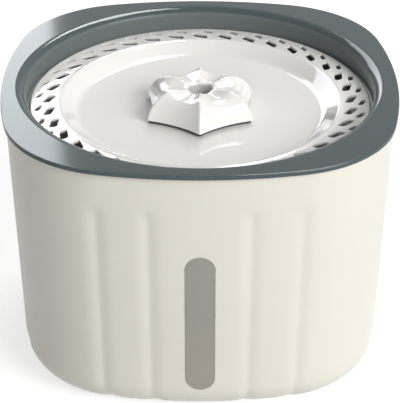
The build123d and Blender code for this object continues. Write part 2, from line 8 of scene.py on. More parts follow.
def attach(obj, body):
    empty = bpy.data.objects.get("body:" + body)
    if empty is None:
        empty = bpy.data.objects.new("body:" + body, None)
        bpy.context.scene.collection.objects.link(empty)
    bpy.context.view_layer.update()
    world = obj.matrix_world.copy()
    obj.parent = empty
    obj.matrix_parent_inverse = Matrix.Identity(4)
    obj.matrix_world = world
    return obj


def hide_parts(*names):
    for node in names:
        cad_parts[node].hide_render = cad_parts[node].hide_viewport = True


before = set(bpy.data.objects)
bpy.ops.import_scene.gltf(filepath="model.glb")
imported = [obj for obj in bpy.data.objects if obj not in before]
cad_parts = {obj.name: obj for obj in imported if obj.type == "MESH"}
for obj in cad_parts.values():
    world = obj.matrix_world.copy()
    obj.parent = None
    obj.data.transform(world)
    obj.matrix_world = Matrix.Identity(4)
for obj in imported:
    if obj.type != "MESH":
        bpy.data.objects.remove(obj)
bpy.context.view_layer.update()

mm = 0.001

# the square-round plan outline that the tank and the rim cover share

outline = {
    "halfWidth": 100.0 * mm,
    "sideRadius": 230.0 * mm,
    "cornerRadius": 60.0 * mm,
    "rimTop": 141.0 * mm,
    "tankTop": 138.8 * mm,
}
sideCentre = outline["halfWidth"] - outline["sideRadius"]
arcSpan = outline["sideRadius"] - outline["cornerRadius"]
cornerCentre = (sideCentre + sqrt(2 * arcSpan**2 - sideCentre**2)) / 2
sideSweep = asin(cornerCentre / arcSpan)


def polar(radius, angle, height):
    return Vector((radius * cos(angle), radius * sin(angle), height))


def foldAngle(angle):
    # turns an angle round the object into its quarter: the quarter's number and what is left
    quarter = round(angle / (pi / 2))
    return quarter, angle - quarter * pi / 2


def sideEnd(radius):
    # the angle at which a side's arc of this radius meets the corner's
    return atan2(radius * sin(sideSweep), sideCentre + radius * cos(sideSweep))


def outlineRadius(angle, inset):
    # distance from the middle to the outline, moved inwards by inset, at an angle round the object
    rest = abs(foldAngle(angle)[1])
    radius = outline["sideRadius"] - inset
    if rest <= sideEnd(radius):
        along = sideCentre * cos(rest)
        return along + sqrt(along**2 - sideCentre**2 + radius**2)
    radius = outline["cornerRadius"] - inset
    along = cornerCentre * (cos(rest) + sin(rest))
    return along + sqrt(along**2 - 2 * cornerCentre**2 + radius**2)


def outlineNormal(angle):
    # the outline's outward direction at an angle round the object
    quarter, rest = foldAngle(angle)
    if abs(rest) <= sideEnd(outline["sideRadius"]):
        centre = Vector((sideCentre, 0, 0))
    else:
        centre = Vector((cornerCentre, cornerCentre if rest > 0 else -cornerCentre, 0))
    normal = (polar(outlineRadius(angle, 0), rest, 0) - centre).normalized()
    return Matrix.Rotation(quarter * pi / 2, 3, "Z") @ normal


# mesh tools


def arcSteps(centre, radius, start, end, count):
    # points of a rounded edge in a profile: (reach, height) pairs
    turns = [start + (end - start) * step / count for step in range(count + 1)]
    return [(centre[0] + radius * cos(turn), centre[1] + radius * sin(turn)) for turn in turns]


def vertsOf(parts):
    return [part for part in parts if isinstance(part, bmesh.types.BMVert)]


def growRings(segments, stations, place, closeEnds=False):
    # a circle that is extruded from station to station; place puts each vertex by its angle
    bm = bmesh.new()
    angleLayer = bm.verts.layers.float.new("turn")
    ring = bmesh.ops.create_circle(bm, cap_ends=False, radius=1.0, segments=segments)["verts"]
    for vert in ring:
        vert[angleLayer] = atan2(vert.co.y, vert.co.x)
    edges = list(bm.edges)
    first = list(edges)
    for number, station in enumerate(stations):
        if number:
            grown = bmesh.ops.extrude_edge_only(bm, edges=edges)["geom"]
            ring = vertsOf(grown)
            inRing = set(ring)
            edges = [part for part in grown if isinstance(part, bmesh.types.BMEdge)]
            edges = [edge for edge in edges if inRing.issuperset(edge.verts)]
        for vert in ring:
            vert.co = place(vert[angleLayer], station)
    if closeEnds:
        bmesh.ops.edgeloop_fill(bm, edges=first)
        bmesh.ops.edgeloop_fill(bm, edges=edges)
    else:
        bmesh.ops.bridge_loops(bm, edges=first + edges)
    bmesh.ops.recalc_face_normals(bm, faces=bm.faces)
    return bm


def pushFaces(bm, shift):
    # extrudes the faces of an open sheet by a shift, which closes it into a solid
    grown = bmesh.ops.extrude_face_region(bm, geom=list(bm.faces))["geom"]
    bmesh.ops.translate(bm, vec=shift, verts=vertsOf(grown))
    bmesh.ops.recalc_face_normals(bm, faces=bm.faces)


def addPiece(name, bm):
    mesh = bpy.data.meshes.new(name)
    bm.to_mesh(mesh)
    bm.free()
    piece = bpy.data.objects.new(name, mesh)
    bpy.context.scene.collection.objects.link(piece)
    return piece


def shadePiece(piece, sharpAngle):
    piece.data.shade_smooth()
    piece.data.set_sharp_from_angle(angle=radians(sharpAngle))


def finishPiece(bm, name, body, nodes, material, sharpAngle=32):
    # turns a bmesh into a finished piece that rides on its body
    piece = addPiece(name, bm)
    shadePiece(piece, sharpAngle)
    piece.data.materials.append(material)
    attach(piece, body)
    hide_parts(*nodes)
    return piece


def cutAway(piece, bm, sharpAngle=32):
    # takes the cutter's volume out of a piece
    cutter = addPiece("cutter", bm)
    cut = piece.modifiers.new("cut", "BOOLEAN")
    cut.operation = "DIFFERENCE"
    cut.solver = "EXACT"
    cut.object = cutter
    shaped = bpy.data.meshes.new_from_object(piece.evaluated_get(bpy.context.evaluated_depsgraph_get()))
    piece.modifiers.clear()
    spent = [piece.data, cutter.data]
    piece.data = shaped
    shaped.name = piece.name
    bpy.data.objects.remove(cutter)
    for mesh in spent:
        bpy.data.meshes.remove(mesh)
    shadePiece(piece, sharpAngle)


# shader tools

colourSocket, floatSocket = "NodeSocketColor", "NodeSocketFloat"


def newMaterial(name, **sockets):
    material = bpy.data.materials.new(name)
    material.use_nodes = True
    shader = material.node_tree.nodes["Principled BSDF"]
    for socket, value in sockets.items():
        shader.inputs[socket.replace("_", " ")].default_value = value
    return material, material.node_tree, shader


def addNode(tree, kind, **values):
    # values are the node's own settings, or its sockets by name with _ for a space
    node = tree.nodes.new(kind)
    for name, value in values.items():
        if hasattr(node, name):
            setattr(node, name, value)
        else:
            node.inputs[name.replace("_", " ")].default_value = value
    return node


def newGroup(name, inputs, outputs):
    group = bpy.data.node_groups.new(name, "ShaderNodeTree")
    for socket, (kind, value) in inputs.items():
        made = group.interface.new_socket(name=socket, in_out="INPUT", socket_type=kind)
        made.default_value = value
    for socket, kind in outputs.items():
        group.interface.new_socket(name=socket, in_out="OUTPUT", socket_type=kind)
    return group, group.nodes.new("NodeGroupInput"), group.nodes.new("NodeGroupOutput")


def feed(tree, given, socket):
    # given is another node's socket or a constant
    if isinstance(given, bpy.types.NodeSocket):
        tree.links.new(given, socket)
    else:
        socket.default_value = given


def calc(tree, operation, *given, **options):
    node = addNode(tree, "ShaderNodeMath", operation=operation, **options)
    for value, socket in zip(given, node.inputs):
        feed(tree, value, socket)
    return node.outputs[0]


def blend(tree, share, first, second, kind="RGBA"):
    # mixes two colours or two values
    node = addNode(tree, "ShaderNodeMix", data_type=kind)
    start, result = (6, 2) if kind == "RGBA" else (2, 0)
    feed(tree, share, node.inputs[0])
    feed(tree, first, node.inputs[start])
    feed(tree, second, node.inputs[start + 1])
    return node.outputs[result]


def tinted(tree, colour, factor):
    # a colour times a value
    node = addNode(tree, "ShaderNodeVectorMath", operation="SCALE")
    feed(tree, colour, node.inputs[0])
    feed(tree, factor, node.inputs["Scale"])
    return node.outputs[0]


def measure(tree, kind):
    # X, Y or Z of a shaded point, or its radius: the distance from the upright axis
    place = tree.nodes.new("ShaderNodeTexCoord").outputs["Object"]
    if kind != "radius":
        split = tree.nodes.new("ShaderNodeSeparateXYZ")
        tree.links.new(place, split.inputs[0])
        return split.outputs[kind]
    flat = addNode(tree, "ShaderNodeVectorMath", operation="MULTIPLY")
    flat.inputs[1].default_value = (1, 1, 0)
    tree.links.new(place, flat.inputs[0])
    reach = addNode(tree, "ShaderNodeVectorMath", operation="LENGTH")
    tree.links.new(flat.outputs[0], reach.inputs[0])
    return reach.outputs["Value"]


def roughen(tree, shader, height, strength, distance):
    # bumps a shader's surface by a height
    bump = addNode(tree, "ShaderNodeBump", Strength=strength, Distance=distance)
    tree.links.new(height, bump.inputs["Height"])
    tree.links.new(bump.outputs["Normal"], shader.inputs["Normal"])


def mixInto(material, share, name, value, kind="RGBA"):
    # mixes a constant into what already feeds one of the shader's sockets
    tree = material.node_tree
    socket = tree.nodes["Principled BSDF"].inputs[name]
    tree.links.new(blend(tree, share, socket.links[0].from_socket, value, kind), socket)


def fadeBetween(material, along, start, end, colour, rough):
    # fades a plastic into a second colour and roughness from start to end, in mm along a measure
    tree = material.node_tree
    share = addNode(
        tree, "ShaderNodeMapRange", interpolation_type="SMOOTHSTEP", From_Min=start * mm, From_Max=end * mm,
    )
    tree.links.new(measure(tree, along), share.inputs["Value"])
    mixInto(material, share.outputs["Result"], "Base Color", (*colour, 1))
    mixInto(material, share.outputs["Result"], "Roughness", rough, "FLOAT")


# moulded plastic: what a look leaves out comes from plainLook; grain is the bump's height in mm

plainLook = {"spread": 0.06, "cloud": 0.04, "grain": 0.03, "grainScale": 1500.0, "specular": 0.5, "glow": 0.0}
skinDetail = {"cloudScale": 18.0, "bumpStrength": 0.1, "glowDepth": 2 * mm}


def buildMouldedSkin():
    # a very fine grain, faint clouds in the colour, soft changes in the gloss
    group, given, out = newGroup(
        "mouldedSkin",
        {
            "Colour": (colourSocket, (0.8, 0.8, 0.8, 1)),
            "Cloud": (floatSocket, 0.03),
            "Roughness": (floatSocket, 0.3),
            "Spread": (floatSocket, 0.05),
            "Grain Scale": (floatSocket, 1500.0),
        },
        {"Colour": colourSocket, "Roughness": floatSocket, "Height": floatSocket},
    )
    link = group.links.new
    place = group.nodes.new("ShaderNodeTexCoord").outputs["Object"]
    clouds = addNode(group, "ShaderNodeTexNoise", Scale=skinDetail["cloudScale"], Detail=3.0, Roughness=0.55)
    fine = addNode(group, "ShaderNodeTexNoise", Detail=2.0, Roughness=0.5)
    link(place, clouds.inputs["Vector"])
    link(place, fine.inputs["Vector"])
    link(given.outputs["Grain Scale"], fine.inputs["Scale"])
    centred = calc(group, "SUBTRACT", clouds.outputs["Fac"], 0.5)
    shade = calc(group, "MULTIPLY_ADD", centred, given.outputs["Cloud"], 1.0)
    gloss = calc(group, "MULTIPLY_ADD", centred, given.outputs["Spread"], given.outputs["Roughness"])
    link(tinted(group, given.outputs["Colour"], shade), out.inputs["Colour"])
    link(gloss, out.inputs["Roughness"])
    link(fine.outputs["Fac"], out.inputs["Height"])
    return group


mouldedSkin = buildMouldedSkin()


def mouldedPlastic(name, look):
    look = {**plainLook, **look}
    material, tree, shader = newMaterial(
        name,
        Specular_IOR_Level=look["specular"],
        Subsurface_Weight=look["glow"],
        Subsurface_Scale=skinDetail["glowDepth"],
    )
    skin = addNode(
        tree,
        "ShaderNodeGroup",
        node_tree=mouldedSkin,
        Colour=(*look["colour"], 1),
        Cloud=look["cloud"],
        Roughness=look["rough"],
        Spread=look["spread"],
        Grain_Scale=look["grainScale"],
    )
    tree.links.new(skin.outputs["Colour"], shader.inputs["Base Color"])
    tree.links.new(skin.outputs["Roughness"], shader.inputs["Roughness"])
    roughen(tree, shader, skin.outputs["Height"], skinDetail["bumpStrength"], look["grain"] * mm)
    for fade in look.get("fades", []):
        fadeBetween(material, **fade)
    return material


# camera, floor and light

view = {"place": (0, -0.756946, 0.51205), "downward": 30.318, "lens": 148.11, "sensor": 36}
studio = {
    "floorSize": 6.0,
    "floorColour": (0.68, 0.68, 0.68),
    "floorLift": 0.66,
    "ambient": 0.115,
    "aimHeight": 100.0 * mm,  # the lamps' distances start at this height over the middle
}

# angle is to the right of the front and height above the horizon, both in degrees
lamps = {
    "keyRight": {
        "angle": 48, "height": 32, "distance": 2.4, "size": (1.65, 0.98), "power": 49.5,
        "colour": (1, 0.985, 0.96),
    },
    "cardBackLeft": {
        "angle": -156.4, "height": 29.5, "distance": 4.2, "size": (2.2, 2.5), "power": 118.0,
        "colour": (0.93, 0.97, 1), "upright": True, "roll": 1.0, "shift": (0.02, 0, 0), "diffuse": False,
    },
    "backSoft": {
        "angle": 160, "height": 42, "distance": 2.4, "size": (1.2, 1.2), "power": 21.5, "glossy": False,
    },
    "frontSoft": {"angle": -15, "height": 16, "distance": 2.4, "size": (1.5, 0.9), "power": 9.3},
    "streakOverhead": {
        "angle": 0, "height": 90, "distance": 1.5, "size": (0.45, 1.4), "power": 38.0,
        "shift": (0.33, 1.05, 0), "level": True, "diffuse": False,
    },
}


def makeCamera():
    data = bpy.data.cameras.new("camera")
    data.lens = view["lens"]
    data.sensor_width = view["sensor"]
    camera = bpy.data.objects.new("camera", data)
    camera.location = view["place"]
    camera.rotation_euler = (radians(90 - view["downward"]), 0, 0)
    bpy.context.scene.collection.objects.link(camera)
    bpy.context.scene.camera = camera


def showsBackdrop(tree):
    # 1 for rays that should see a white background: camera, glossy and transmission rays
    rays = tree.nodes.new("ShaderNodeLightPath").outputs
    first = calc(tree, "MAXIMUM", rays["Is Camera Ray"], rays["Is Glossy Ray"])
    return calc(tree, "MAXIMUM", first, rays["Is Transmission Ray"])


def makeWorld():
    # white where the backdrop shows, and a dim even light for the rest
    world = bpy.data.worlds.new("studioAir")
    bpy.context.scene.world = world
    world.use_nodes = True
    tree = world.node_tree
    air = tree.nodes["Background"]
    air.inputs["Color"].default_value = (1, 1, 1, 1)
    level = addNode(tree, "ShaderNodeMapRange", To_Min=studio["ambient"], To_Max=1.0)
    tree.links.new(showsBackdrop(tree), level.inputs["Value"])
    tree.links.new(level.outputs[0], air.inputs["Strength"])


def makeFloor():
    bm = bmesh.new()
    bmesh.ops.create_grid(bm, x_segments=1, y_segments=1, size=studio["floorSize"])
    floor = addPiece("floor", bm)
    material, tree, shader = newMaterial(
        "floorPaper",
        Base_Color=(*studio["floorColour"], 1),
        Roughness=0.9,
        Specular_IOR_Level=0.0,
        Emission_Color=(1, 1, 1, 1),
    )
    lift = calc(tree, "MULTIPLY", showsBackdrop(tree), studio["floorLift"])
    tree.links.new(lift, shader.inputs["Emission Strength"])
    floor.data.materials.append(material)


def softLight(name, lamp):
    # a rectangle of light that faces the object, stands upright or lies level
    data = bpy.data.lights.new(name, "AREA")
    data.shape = "RECTANGLE"
    data.size, data.size_y = lamp["size"]
    data.energy = lamp["power"]
    data.color = lamp.get("colour", (1, 1, 1))
    light = bpy.data.objects.new(name, data)
    turn, rise = radians(lamp["angle"]), radians(lamp["height"])
    way = Vector((sin(turn) * cos(rise), -cos(turn) * cos(rise), sin(rise)))
    light.location = way * lamp["distance"] + Vector((0, 0, studio["aimHeight"]))
    light.location += Vector(lamp.get("shift", (0, 0, 0)))
    if lamp.get("upright"):
        way.z = 0
    light.rotation_mode = "QUATERNION"
    light.rotation_quaternion = (1, 0, 0, 0) if lamp.get("level") else way.to_track_quat("Z", "Y")
    light.rotation_quaternion @= Quaternion((0, 0, 1), radians(lamp.get("roll", 0)))
    light.visible_diffuse = lamp.get("diffuse", True)
    light.visible_glossy = lamp.get("glossy", True)
    bpy.context.scene.collection.objects.link(light)


makeCamera()
makeWorld()
makeFloor()
for name, lamp in lamps.items():
    softLight(name, lamp)
bpy.context.scene.view_settings.view_transform = "Standard"
print("studio ready")

# tank

tank = {
    "segments": 640,
    "overhang": 1.8 * mm,
    "wall": 2.6 * mm,
    "base": 1.2 * mm,
    "draft": radians(1.8),
    "bottomRounding": 16.0 * mm,
    "innerSteps": 8,
    "outerSteps": 16,
    "floorLoop": 20.0 * mm,  # how far in from the bend the flat floor's fill begins
    "edgeRounding": 0.5 * mm,
    "wallLoops": [130, 127, *range(125, 108, -1), 104, 97, 90, 75, 60, 45, 30, 22],  # heights in mm
    "fluteWidth": 15.0 * mm,
    "fluteDepth": 0.8 * mm,
    "flutePitch": 25.0 * mm,
    "flutesEachWay": 2,
    "fluteTop": 123.0 * mm,
    "fluteCrease": 1.0 * mm,
    "fluteRunOut": 4,  # steps of the bottom rounding over which the flutes fade out
    "notchWidth": 9.0 * mm,
    "notchMiddle": 90.0 * mm,
    "notchDepth": 60.0 * mm,
    "cableHeight": 129.8 * mm,
    "look": {"colour": (0.782, 0.758, 0.685), "rough": 0.36, "cloud": 0.02, "grain": 0.02, "specular": 0.4},
}


def fluteDepth(angle, height):
    # how deep the flutes cut at an angle and a height: steep beside the crease, fading out sideways
    quarter, rest = foldAngle(angle)
    reach = outlineRadius(angle, tank["overhang"])
    x, y = reach * cos(rest) - sideCentre, reach * sin(rest)
    bow, distance = atan2(y, x), sqrt(x * x + y * y)
    halfWidth, crease = tank["fluteWidth"] / 2, tank["fluteCrease"]
    above = max(0.0, height - (tank["fluteTop"] - halfWidth))
    isFront = quarter % 4 == 3
    deepest = 0.0
    for step in range(-tank["flutesEachWay"], tank["flutesEachWay"] + 1):
        if isFront and step == 0:
            continue  # the level window is here
        aside = distance * sin(bow - asin(step * tank["flutePitch"] / outline["sideRadius"]))
        away = sqrt(aside**2 + above**2)
        if away < halfWidth:
            share = 1 - (sqrt(away**2 + crease**2) - crease) / (sqrt(halfWidth**2 + crease**2) - crease)
            deepest = max(deepest, tank["fluteDepth"] * share**2)
    return deepest


def wallInset(height):
    return tank["overhang"] + (outline["tankTop"] - height) * tan(tank["draft"])


def innerStations():
    # profile of the inside, from the floor's middle up to the top edge
    wall, base, top, edge = tank["wall"], tank["base"], outline["tankTop"], tank["edgeRounding"]
    rounding = tank["bottomRounding"] - wall
    bend = (wallInset(base + wall + rounding) + wall + rounding, base + wall + rounding)
    points = [(bend[0] + tank["floorLoop"], base + wall)]
    points += arcSteps(bend, rounding, -pi / 2, -pi, tank["innerSteps"])
    outer = wallInset(top)
    points += [(outer + wall, top - edge), (outer + wall - edge, top), (outer + edge, top)]
    return [(inset, height, 0, (0, 1)) for inset, height in points]


def outerStations():
    # profile of the outside, from the top edge down and under the base
    top, base, rounding, steps = outline["tankTop"], tank["base"], tank["bottomRounding"], tank["outerSteps"]
    stations = [(wallInset(top), top - tank["edgeRounding"], 1, (1, 0))]
    for loop in tank["wallLoops"]:
        stations.append((wallInset(loop * mm), loop * mm, 1, (1, 0)))
    bend = (wallInset(base + rounding) + rounding, base + rounding)
    for number in range(steps + 1):
        turn = pi + pi / 2 * number / steps
        inset, height = bend[0] + rounding * cos(turn), bend[1] + rounding * sin(turn)
        share = min(1.0, (steps - number) / tank["fluteRunOut"])
        stations.append((inset, height, share, (-cos(turn), sin(turn))))
    stations.append((bend[0] + tank["floorLoop"], base, 0, (0, -1)))
    return stations


def placeTank(angle, station):
    # a station: inset from the outline, height, share of the flutes' depth, way out along the profile
    inset, height, share, way = station
    point = polar(outlineRadius(angle, inset), angle, height)
    if share > 0:
        out = outlineNormal(angle)
        point -= share * fluteDepth(angle, height) * Vector((out.x * way[0], out.y * way[0], way[1]))
        point.z = max(point.z, tank["base"])
    return point


def notchCutter():
    # the square notch for the cable grommet at the back of the top edge
    bm = bmesh.new()
    bmesh.ops.create_cube(bm, size=1.0)
    low, high = tank["cableHeight"] - tank["notchWidth"] / 2, outline["rimTop"]
    bmesh.ops.scale(bm, vec=(tank["notchWidth"], tank["notchDepth"], high - low), verts=bm.verts)
    bmesh.ops.translate(bm, vec=(0, tank["notchMiddle"], (low + high) / 2), verts=bm.verts)
    return bm


# level window, and its slot in the tank's front

levelWindow = {
    "width": 14.8 * mm,
    "low": 16.4 * mm,
    "high": 95.4 * mm,
    "seam": 0.12 * mm,
    "endSegments": 64,
    "barLength": 150.0 * mm,
    "barFront": -120.0 * mm,  # where the window's bar begins before it is trimmed
    "slotFront": -200.0 * mm,  # where the slot's cutter begins
    "splitHeight": 30.0 * mm,  # where the bar's long sides are split once
    "trimColumns": 24,
    "trimRows": 10,
    "trimWidth": 24.0 * mm,
    "trimLow": 8.0 * mm,
    "trimHigh": 104.0 * mm,
    "trimDepth": 120.0 * mm,
    "sharpAngle": 25,
    "look": {
        "colour": (0.33, 0.32, 0.295), "rough": 0.3, "cloud": 0.04, "grain": 0.01, "specular": 0.35,
        "fades": [{"along": "Z", "start": 75, "end": 25, "colour": (0.355, 0.335, 0.29), "rough": 0.3}],
    },
}


def slotBar(grow, front):
    # a bar with round ends that runs backwards from front, through the wall
    bm = bmesh.new()
    width, low, high = levelWindow["width"], levelWindow["low"], levelWindow["high"]
    bmesh.ops.create_circle(bm, cap_ends=True, radius=width / 2 + grow, segments=levelWindow["endSegments"])
    reach = (high - low - width) / 2
    for vert in bm.verts:
        x, y = vert.co.x, vert.co.y
        vert.co = Vector((x, front, (low + high) / 2 + y + (reach if y > 0 else -reach)))
    pushFaces(bm, (0, levelWindow["barLength"], 0))
    return bm


def wallTrim(inset, depth):
    # what lies on one side of the front wall's face, which is moved inwards by inset
    bm = bmesh.new()
    columns, rows = levelWindow["trimColumns"], levelWindow["trimRows"]
    bmesh.ops.create_grid(bm, x_segments=columns, y_segments=rows, size=0.5)
    low, high = levelWindow["trimLow"], levelWindow["trimHigh"]
    for vert in bm.verts:
        x, height = vert.co.x * levelWindow["trimWidth"], low + (vert.co.y + 0.5) * (high - low)
        radius = outline["sideRadius"] - wallInset(height) - inset
        vert.co = Vector((x, -(sideCentre + radius * cos(asin(x / radius))), height))
    pushFaces(bm, (0, depth, 0))
    return bm


def makeTank():
    bm = growRings(tank["segments"], innerStations() + outerStations(), placeTank, closeEnds=True)
    cream = mouldedPlastic("creamPlastic", tank["look"])
    shell = finishPiece(bm, "tankShell", "tank", ["tank"], cream)
    cutAway(shell, slotBar(0.0, levelWindow["slotFront"]))
    cutAway(shell, notchCutter())


def makeWindow():
    # fills its slot, flush with the wall but for a fine seam
    bm = slotBar(-levelWindow["seam"], levelWindow["barFront"])
    whole = list(bm.verts) + list(bm.edges) + list(bm.faces)
    bmesh.ops.bisect_plane(bm, geom=whole, plane_co=(0, 0, levelWindow["splitHeight"]), plane_no=(0, 0, 1))
    strip = addPiece("levelStrip", bm)
    cutAway(strip, wallTrim(0.0, -levelWindow["trimDepth"]), levelWindow["sharpAngle"])
    cutAway(strip, wallTrim(tank["wall"], levelWindow["trimDepth"]), levelWindow["sharpAngle"])
    strip.data.materials.append(mouldedPlastic("smokePlastic", levelWindow["look"]))
    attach(strip, "tank")
    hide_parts("level_window")


makeTank()
print("tank ready")
makeWindow()
print("level window ready")

# rim cover

rim = {
    "segments": 480,
    "plate": 2.2 * mm,
    "edgeRounding": 0.6 * mm,
    "edgeSteps": 5,
    "underChamfer": 0.25 * mm,
    "wellRadius": 93.4 * mm,
    "wellRounding": 5.2 * mm,
    "wellSweep": radians(72),
    "wellSteps": 14,
    "flatMargin": 0.15 * mm,
    "lipInset": 4.9 * mm,
    "lipThickness": 1.6 * mm,
    "lipDepth": 5.0 * mm,
    # (radius, depth) in mm: down the well, over the tray's and the basket's seats, and up outside
    "wellProfile": [
        (88.35, 5.0), (88.3, 11.9), (88.1, 12.3), (87.7, 12.5), (84.1, 12.5), (83.9, 12.7), (83.9, 20.8),
        (83.7, 21.0), (79.8, 21.0), (79.8, 23.0), (85.3, 23.0), (85.5, 22.8), (85.5, 14.8), (85.7, 14.6),
        (90.2, 14.6), (90.5, 14.4), (92.0, 8.4), (93.2, 8.0), (94.1, 2.4),
    ],
    # duller and lighter inside the well
    "look": {
        "colour": (0.07, 0.098, 0.108), "rough": 0.08, "spread": 0.02, "cloud": 0.05, "grain": 0.004,
        "specular": 0.24,
        "fades": [
            {"along": "radius", "start": 89.6, "end": 88.7, "colour": (0.13, 0.154, 0.155), "rough": 0.42},
        ],
    },
}


def placeRim(angle, station):
    # size is a radius on the round stations and an inset from the outline on the others
    kind, size, height = station
    return polar(size if kind == "round" else outlineRadius(angle, size), angle, height)


def makeRimCover():
    top, edge, rounding = outline["rimTop"], rim["edgeRounding"], rim["wellRounding"]
    low, chamfer, margin, well = top - rim["plate"], rim["underChamfer"], rim["flatMargin"], rim["wellRadius"]
    stations = [("outline", chamfer, low), ("outline", 0.0, low + chamfer)]
    for inset, height in arcSteps((edge, top - edge), edge, pi, pi / 2, rim["edgeSteps"]):
        stations.append(("outline", inset, height))
    stations += [("outline", edge + margin, top), ("round", well + margin, top)]
    wellEnd = pi / 2 + rim["wellSweep"]
    for radius, height in arcSteps((well, top - rounding), rounding, pi / 2, wellEnd, rim["wellSteps"]):
        stations.append(("round", radius, height))
    stations += [("round", radius * mm, top - depth * mm) for radius, depth in rim["wellProfile"]]
    lipOut, lipIn, lipLow = rim["lipInset"], rim["lipInset"] + rim["lipThickness"], low - rim["lipDepth"]
    for inset, height in ((lipIn, low), (lipIn, lipLow), (lipOut, lipLow), (lipOut, low)):
        stations.append(("outline", inset, height))
    bm = growRings(rim["segments"], stations, placeRim)
    blueGrey = mouldedPlastic("blueGreyPlastic", rim["look"])
    finishPiece(bm, "rimRing", "rim_cover", ["rim_cover"], blueGrey)


makeRimCover()
print("rim cover ready")

# drinking tray

whiteGloss = {
    "colour": (0.895, 0.89, 0.865), "rough": 0.07, "spread": 0.02, "cloud": 0.01, "grain": 0.003,
    "specular": 0.42,
}
tray = {
    "segments": 360,
    # (radius, depth) in mm: up the socket, over the dish, its lip and the flange, and back underneath
    "profile": [
        (6.3, 34.0), (6.3, 17.6), (6.7, 17.3), (30, 17.2), (40, 16.95), (50, 16.6), (60.5, 16.3),
        (62.4, 16.05), (63.6, 15.55), (64.7, 14.8), (70.3, 11.1), (71.1, 10.65), (71.8, 10.5), (72.4, 10.6),
        (72.9, 10.85), (73.2, 10.9), (85.7, 10.9), (85.95, 10.92), (86.2, 11.05), (86.35, 11.3),
        (86.35, 12.4), (86.25, 12.5), (72.4, 12.5), (65.0, 17.5), (64.2, 17.9), (63.2, 18.1), (40, 18.6),
        (8.6, 18.8), (8.3, 19.1), (8.3, 33.8), (8.1, 34.0),
    ],
    "slotCount": 36,
    "slotRows": [
        {"radius": 77.1, "length": 8.2, "width": 4.3, "lean": 3.4, "lag": 0.0, "rounding": 1.5},
        {"radius": 82.5, "length": 5.9, "width": 2.7, "lean": 2.4, "lag": 2.7, "rounding": 1.05},
    ],
    "cornerSegments": 3,
    "cutterDepth": 20.0 * mm,
    "cutterHeight": 14.0 * mm,
    # painted shade: the slots' walls are painted dark below these heights, between these radii
    "paintedShadeFrom": 129.4 * mm,
    "paintedShadeTo": 128.5 * mm,
    "paintedShadeInside": 72.6 * mm,
    "paintedShadeOutside": 85.5 * mm,
    "paintedShadeColour": (0.06, 0.058, 0.055, 1),
}


def placeTurned(angle, station):
    radius, depth = station
    return polar(radius * mm, angle, outline["rimTop"] - depth * mm)


def paintedSlotShade():
    # white plastic whose slot walls are painted dark below the flange's surface, as painted shade
    material = mouldedPlastic("whiteTrayPlastic", whiteGloss)
    tree = material.node_tree
    deep = addNode(tree, "ShaderNodeMapRange", From_Min=tray["paintedShadeFrom"], From_Max=tray["paintedShadeTo"])
    tree.links.new(measure(tree, "Z"), deep.inputs["Value"])
    reach = measure(tree, "radius")
    outside = calc(tree, "GREATER_THAN", reach, tray["paintedShadeInside"])
    inside = calc(tree, "LESS_THAN", reach, tray["paintedShadeOutside"])
    share = calc(tree, "MULTIPLY", calc(tree, "MULTIPLY", outside, inside), deep.outputs["Result"])
    # painted shade: the dark colour is mixed into the slot walls' base colour
    mixInto(material, share, "Base Color", tray["paintedShadeColour"])
    return material


def slotRow(bm, slot):
    # the drain slots of one row, still flat: leaning bars with rounded corners
    lean, width, length = slot["lean"] / 2, slot["width"] / 2, slot["length"] / 2
    places = [(lean + width, length), (lean - width, length)]
    places += [(-lean - width, -length), (-lean + width, -length)]
    height = outline["rimTop"] - tray["cutterDepth"]
    for number in range(tray["slotCount"]):
        turn = Matrix.Rotation(2 * pi * number / tray["slotCount"] - radians(slot["lag"]), 4, "Z")
        corners = []
        for out, along in places:
            corners.append(bm.verts.new(turn @ Vector(((slot["radius"] + out) * mm, along * mm, height))))
        bm.faces.new(corners)
        bmesh.ops.bevel(
            bm, geom=corners, offset=slot["rounding"] * mm, offset_type="OFFSET",
            segments=tray["cornerSegments"], profile=0.5, affect="VERTICES", material=-1,
        )


def makeTray():
    bm = growRings(tray["segments"], tray["profile"], placeTurned)
    piece = finishPiece(bm, "drinkingTray", "tray", ["drinking_tray"], paintedSlotShade())
    cutter = bmesh.new()
    for slot in tray["slotRows"]:
        slotRow(cutter, slot)
    pushFaces(cutter, (0, 0, tray["cutterHeight"]))
    cutAway(piece, cutter)


makeTray()
print("drinking tray ready")

# flower spout

